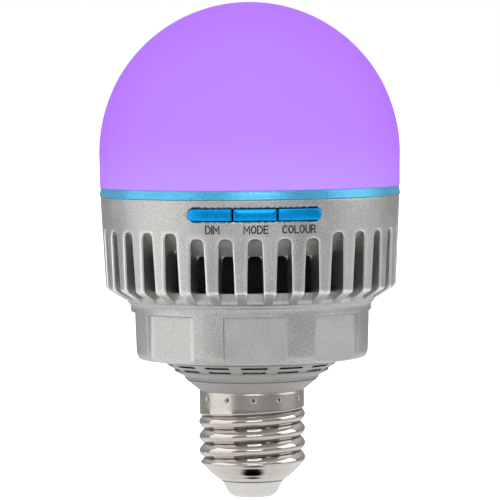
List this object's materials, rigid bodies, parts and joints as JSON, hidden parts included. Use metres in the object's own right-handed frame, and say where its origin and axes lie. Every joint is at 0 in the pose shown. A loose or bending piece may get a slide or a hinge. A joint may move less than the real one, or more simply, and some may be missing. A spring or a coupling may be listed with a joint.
{
  "type": "smart light bulb",
  "caption": "Screw-base smart light bulb with an opal dome, blue trim ring, finned die-cast body, push keys for dimming, mode and colour, and a vented base collar.",
  "frame": {"origin": "middle of the flat end of the centre contact, the lowest point of the bulb when its base is down", "axes": "+Z along the bulb's axis from the contact to the top of the dome; -Y through the middle key, the front; +X to the right when the keys face the viewer"},
  "size_m": [0.0752, 0.0753, 0.1238],
  "materials": {
    "opal_dome": "opal polycarbonate, lit violet from inside",
    "blue_ring": "blue anodised, satin",
    "blue_key": "moulded, metallic blue paint, satin",
    "cast_aluminium": "die-cast, fine bead-blasted grain",
    "plate_aluminium": "stamped, plain",
    "nickel": "nickel-plated, smooth",
    "grey_plastic": "moulded, satin grey",
    "black_plastic": "moulded, matt black",
    "white_plastic": "moulded, white",
    "silicone": "soft, matt",
    "circuit_board": "green solder mask",
    "led_board_white": "white solder mask",
    "led_phosphor": "yellow phosphor",
    "steel": "zinc-plated",
    "ferrite": "sintered, matt",
    "cell_wrap": "shrink wrap",
    "wire_red": "wire insulation",
    "wire_black": "wire insulation",
    "wire_white": "wire insulation"
  },
  "bodies": {
    "bulb": {"centre_contact": "nickel", "tip_insulator": "white_plastic", "screw_shell": "nickel", "base_collar": "grey_plastic", "insulating_sleeve": "white_plastic", "heat_sink": "cast_aluminium", "switch_body_left": "black_plastic", "switch_body_mode": "black_plastic", "switch_body_right": "black_plastic", "key_board_screw_1": "steel", "key_board_screw_2": "steel", "key_board": "circuit_board", "key_ribbon": "wire_white", "core_housing": "black_plastic", "driver_board": "circuit_board", "transformer": "ferrite", "bulk_capacitor": "black_plastic", "filter_capacitor": "wire_red", "line_choke": "ferrite", "rectifier": "black_plastic", "battery_cell_left": "cell_wrap", "battery_cell_right": "cell_wrap", "cell_holder_lower": "black_plastic", "cell_holder_upper": "black_plastic", "cell_link": "nickel", "live_lead": "wire_red", "fusible_resistor": "led_board_white", "neutral_lead": "wire_black", "led_lead_plus": "wire_red", "battery_lead_plus": "wire_red", "led_lead_minus": "wire_black", "battery_lead_minus": "wire_black", "led_plate": "plate_aluminium", "thermal_pad": "silicone", "led_board": "led_board_white", "board_screw_1": "steel", "board_screw_2": "steel", "board_screw_3": "steel", "radio_module": "circuit_board", "trim_ring": "blue_ring", "dome_gasket": "silicone", "diffuser_dome": "opal_dome", "led_emitter_1": "led_phosphor", "led_emitter_2": "led_phosphor", "led_emitter_3": "led_phosphor", "led_emitter_4": "led_phosphor", "led_emitter_5": "led_phosphor", "led_emitter_6": "led_phosphor", "led_emitter_7": "led_phosphor", "led_emitter_8": "led_phosphor", "led_emitter_9": "led_phosphor", "led_emitter_10": "led_phosphor", "led_emitter_11": "led_phosphor", "led_emitter_12": "led_phosphor"},
    "key_left": {"key_left": "blue_key", "switch_plunger_left": "white_plastic"},
    "key_mode": {"key_mode": "blue_key", "switch_plunger_mode": "white_plastic"},
    "key_right": {"key_right": "blue_key", "switch_plunger_right": "white_plastic"}
  },
  "joints": [
    {"name": "key_left_press", "type": "slide", "parent": "bulb", "child": "key_left", "axis": [0.2924, 0.9563, 0], "range_m": [0, 0.00035], "stiffness_N_per_m": 1000, "springref_m": -0.0005},
    {"name": "key_mode_press", "type": "slide", "parent": "bulb", "child": "key_mode", "axis": [0, 1, 0], "range_m": [0, 0.00035], "stiffness_N_per_m": 1000, "springref_m": -0.0005},
    {"name": "key_right_press", "type": "slide", "parent": "bulb", "child": "key_right", "axis": [-0.2924, 0.9563, 0], "range_m": [0, 0.00035], "stiffness_N_per_m": 1000, "springref_m": -0.0005}
  ]
}
